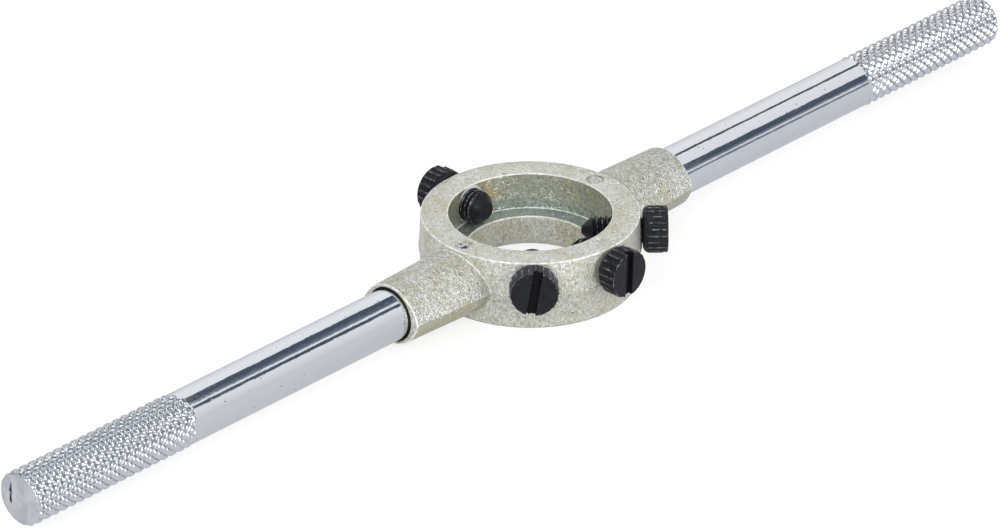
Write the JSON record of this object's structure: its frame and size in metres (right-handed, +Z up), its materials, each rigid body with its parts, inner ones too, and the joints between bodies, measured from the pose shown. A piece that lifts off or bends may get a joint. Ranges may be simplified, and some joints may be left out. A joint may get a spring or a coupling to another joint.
{
  "type": "die stock handle",
  "caption": "Cast ring with a stepped pocket for a round threading die, knurled rod handles and serrated thumb screws that clamp it.",
  "frame": {"origin": "on the ring's axis, at its flat underside", "axes": "+X along the rods towards handle_right, +Z up the ring's axis towards the open side of the die pocket"},
  "size_m": [0.325, 0.0626, 0.0178],
  "materials": {
    "cast_zinc": "die cast zinc alloy, pale yellow passivated, fine grain",
    "plated_steel": "bright plated steel rod",
    "black_steel": "black oxide, satin"
  },
  "bodies": {
    "stock": {"die_ring": "cast_zinc", "handle_left": "plated_steel", "handle_right": "plated_steel"},
    "clamp_screw_back": {"clamp_screw_back": "black_steel"},
    "clamp_screw_front": {"clamp_screw_front": "black_steel"},
    "clamp_screw_left": {"clamp_screw_left": "black_steel"},
    "spreader_screw": {"spreader_screw": "black_steel"}
  },
  "joints": [
    {"name": "clamp_screw_back_travel", "type": "slide", "parent": "stock", "child": "clamp_screw_back", "axis": [0, 1, 0], "range_m": [0, 0.0054]},
    {"name": "clamp_screw_front_travel", "type": "slide", "parent": "stock", "child": "clamp_screw_front", "axis": [0, -1, 0], "range_m": [0, 0.0054]},
    {"name": "clamp_screw_left_travel", "type": "slide", "parent": "stock", "child": "clamp_screw_left", "axis": [-0.7071, -0.7071, 0], "range_m": [0, 0.0054]},
    {"name": "spreader_screw_travel", "type": "slide", "parent": "stock", "child": "spreader_screw", "axis": [0.7071, -0.7071, 0], "range_m": [0, 0.0076]}
  ]
}
